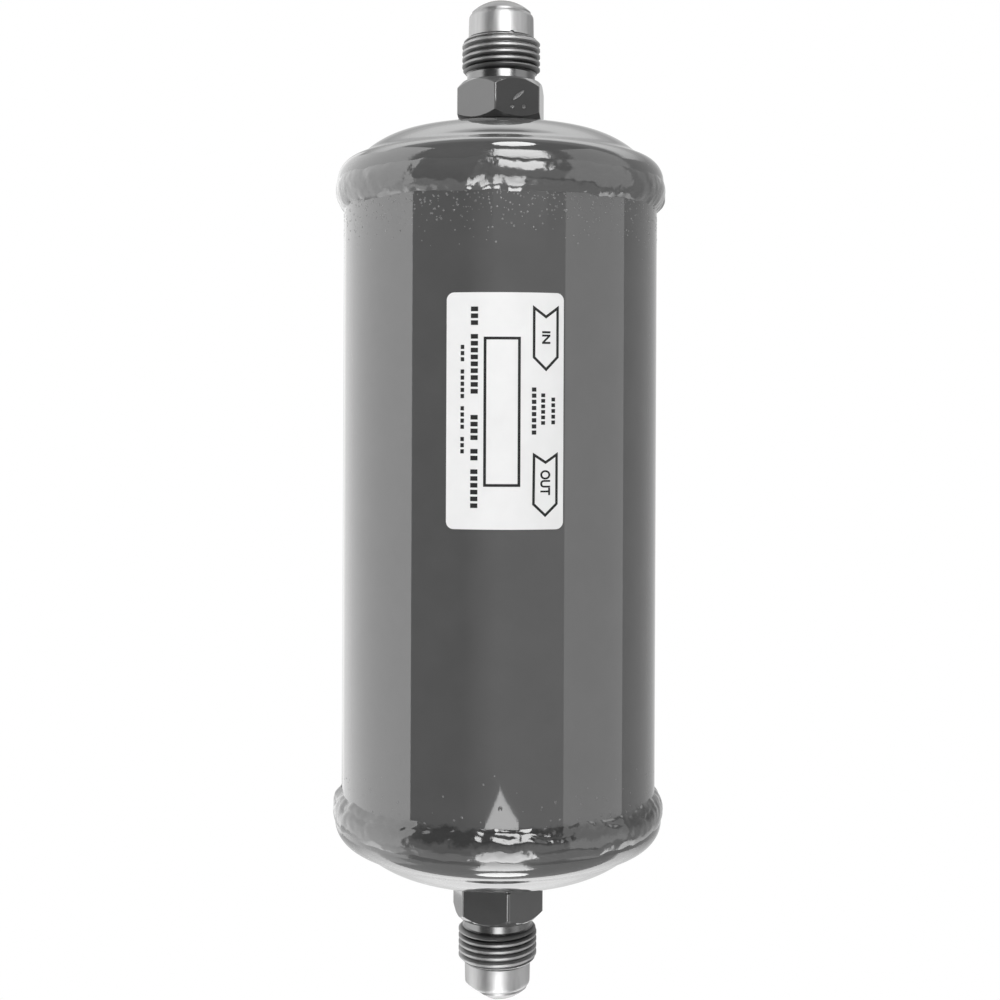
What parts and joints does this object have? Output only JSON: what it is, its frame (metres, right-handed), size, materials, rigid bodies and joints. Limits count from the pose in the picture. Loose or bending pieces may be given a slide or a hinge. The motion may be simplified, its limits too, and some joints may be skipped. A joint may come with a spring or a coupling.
{
  "type": "filter drier",
  "caption": "Steel in-line filter drier: round welded canister with domed ends, male flare fittings, sealing caps and a packed bead bed inside.",
  "frame": {"origin": "centre of the canister, on its axis, halfway between the two sealing caps' tips", "axes": "+Z along the canister's axis towards the inlet fitting, -Y towards the viewer and the label, +X to the viewer's right"},
  "size_m": [0.0808, 0.0808, 0.2436],
  "materials": {
    "enamel": "glossy dark grey enamel",
    "fitting_steel": "bare plated thread and neck, with enamel on the hexagon",
    "sealing_cap_metal": "satin",
    "label_film": "off-white film, light satin",
    "plain_steel": "plain steel",
    "filter_felt": "pressed glass-fibre felt",
    "desiccant_beads": "matte clay-coloured beads"
  },
  "bodies": {
    "drier": {"shell": "enamel", "inlet_end_cap": "enamel", "outlet_end_cap": "enamel", "inlet_girth_weld": "enamel", "outlet_girth_weld": "enamel", "inlet_flare_fitting": "fitting_steel", "outlet_flare_fitting": "fitting_steel", "inlet_braze_fillet": "enamel", "outlet_braze_fillet": "enamel", "label": "label_film", "spring": "plain_steel", "inlet_perforated_plate": "plain_steel", "inlet_screen": "plain_steel", "inlet_filter_pad": "filter_felt", "desiccant_bed": "desiccant_beads", "outlet_filter_pad": "filter_felt", "outlet_screen": "plain_steel", "outlet_support_cup": "plain_steel"},
    "inlet_cap": {"inlet_sealing_cap": "sealing_cap_metal"},
    "outlet_cap": {"outlet_sealing_cap": "sealing_cap_metal"}
  },
  "joints": [
    {"name": "inlet_cap_pull", "type": "slide", "parent": "drier", "child": "inlet_cap", "axis": [0, 0, 1], "range_m": [0, 0.03]},
    {"name": "outlet_cap_pull", "type": "slide", "parent": "drier", "child": "outlet_cap", "axis": [0, 0, -1], "range_m": [0, 0.03]}
  ]
}
